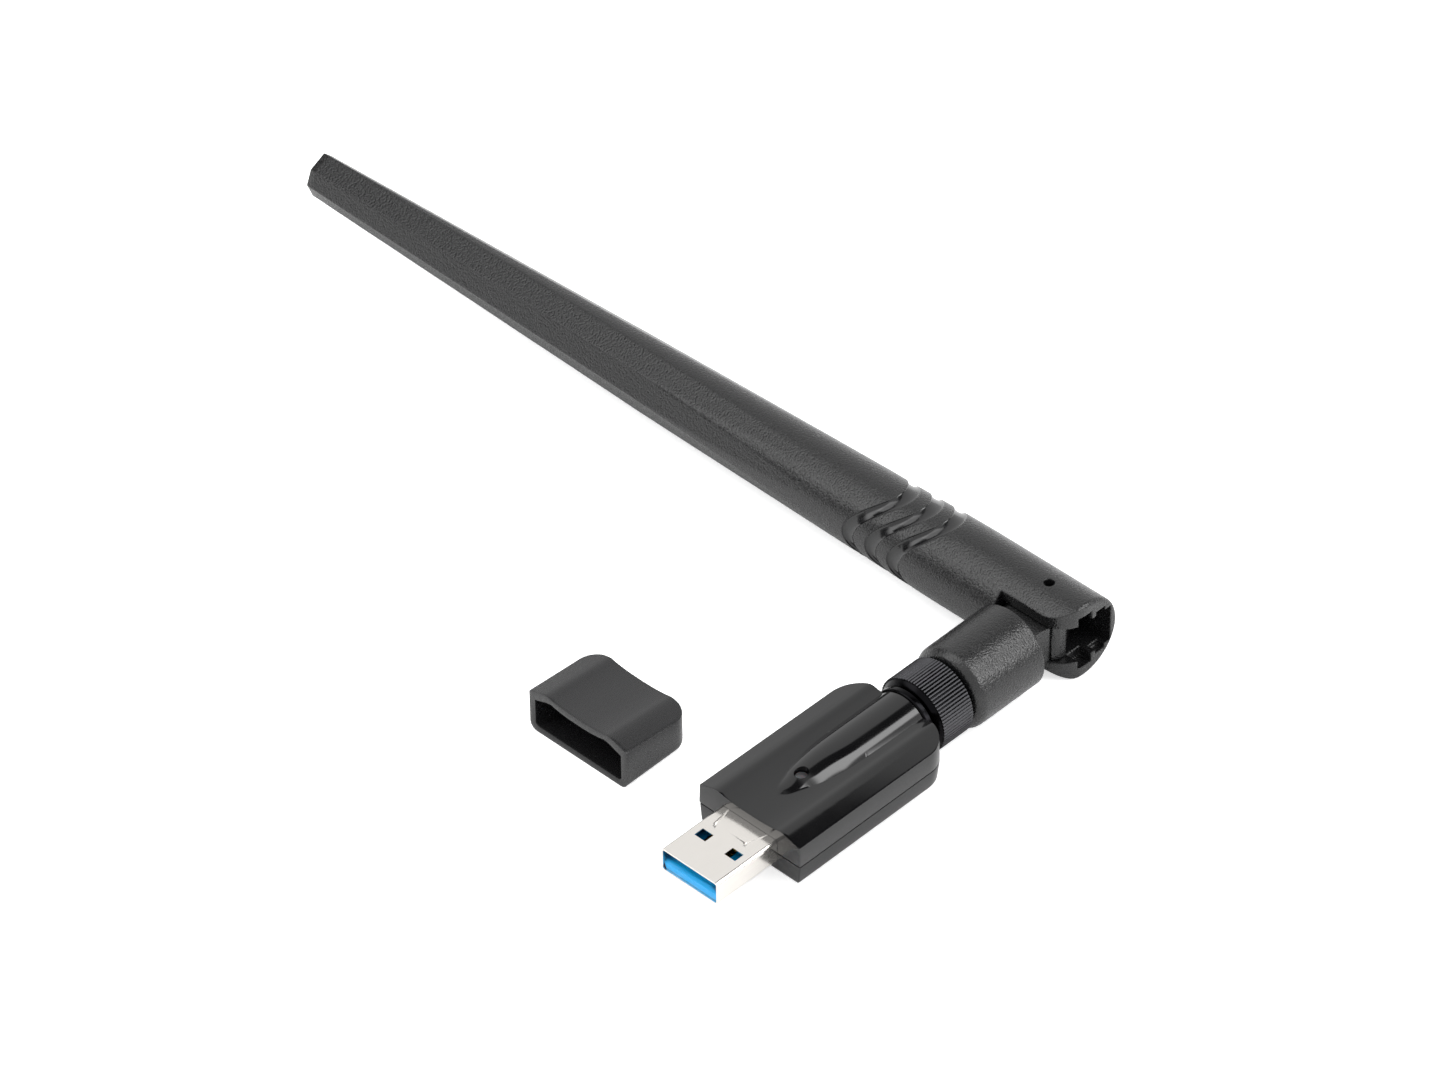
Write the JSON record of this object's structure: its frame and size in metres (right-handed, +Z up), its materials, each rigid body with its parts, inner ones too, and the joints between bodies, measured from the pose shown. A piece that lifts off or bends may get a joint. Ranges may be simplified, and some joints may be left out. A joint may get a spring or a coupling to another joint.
{
  "type": "usb wifi adapter",
  "caption": "USB Wi-Fi adapter with a screw-on antenna on a folding hinge, and its loose plug cap beside it",
  "frame": {"origin": "centre of the plug's open mouth", "axes": "+X from the plug to the antenna hinge, +Y along the folded antenna from hinge to tip, +Z up, out of the housing's lid"},
  "size_m": [0.0895, 0.1773, 0.0148],
  "materials": {
    "housing_black_abs": "glossy",
    "cap_black_abs": "fine matt texture",
    "antenna_black_pc": "fine matt texture",
    "plug_nickel": "nickel plated, satin",
    "insulator_blue": "glossy",
    "contact_gold": "plain",
    "board_green": "fine matt texture",
    "chip_black": "fine matt texture",
    "can_tin": "nickel plated, satin",
    "ceramic_beige": "fine matt texture",
    "lens_grey": "glossy",
    "nut_black_nickel": "black nickel, satin",
    "connector_brass": "plain",
    "dielectric_white": "fine matt texture",
    "coax_jacket": "fine matt texture",
    "pin_steel": "nickel plated, satin"
  },
  "bodies": {
    "dongle": {"housing_top": "housing_black_abs", "housing_bottom": "housing_black_abs", "plug_shell": "plug_nickel", "plug_insulator": "insulator_blue", "usb2_contacts": "contact_gold", "usb3_contacts": "contact_gold", "circuit_board": "board_green", "wifi_chip": "chip_black", "shield_can": "can_tin", "crystal": "can_tin", "voltage_regulator": "chip_black", "chip_capacitors": "ceramic_beige", "status_led": "lens_grey", "led_lens": "lens_grey", "jack_body": "connector_brass", "jack_flange_ring": "nut_black_nickel", "jack_dielectric": "dielectric_white", "jack_contact": "contact_gold"},
    "antenna_connector": {"connector_body": "connector_brass", "connector_dielectric": "dielectric_white", "connector_contact": "contact_gold", "retaining_ring": "pin_steel", "base_coax": "coax_jacket"},
    "coupling_nut": {"coupling_nut": "nut_black_nickel"},
    "antenna_base": {"swivel_barrel": "antenna_black_pc", "hinge_coax": "coax_jacket"},
    "mast": {"mast_shell": "antenna_black_pc", "pivot_pins": "pin_steel", "mast_coax": "coax_jacket", "dipole_sleeve": "connector_brass", "radiator_rod": "connector_brass", "centring_bead": "dielectric_white"},
    "cap": {"plug_cap": "cap_black_abs"}
  },
  "joints": [
    {"name": "connector_unscrew", "type": "slide", "parent": "dongle", "child": "antenna_connector", "axis": [1, 0, 0], "range_m": [0, 0.006]},
    {"name": "nut_spin", "type": "hinge", "parent": "antenna_connector", "child": "coupling_nut", "pos_m": [0.0535, 0, 0], "axis": [1, 0, 0], "range_deg": [0, 3065]},
    {"name": "base_swivel", "type": "hinge", "parent": "antenna_connector", "child": "antenna_base", "pos_m": [0.0655, 0, 0], "axis": [1, 0, 0], "range_deg": [-180, 180]},
    {"name": "mast_tilt", "type": "hinge", "parent": "antenna_base", "child": "mast", "pos_m": [0.0821, 0, 0], "axis": [0, 0, 1], "range_deg": [-90, 0], "deforming": ["hinge_coax"]},
    {"name": "cap_lift", "type": "slide", "parent": "dongle", "child": "cap", "axis": [0, 0, 1], "range_m": [0, 0.03]}
  ],
  "couplings": [
    {"joint": "nut_spin", "follows": "connector_unscrew", "rad_per_m": 8904.7}
  ]
}
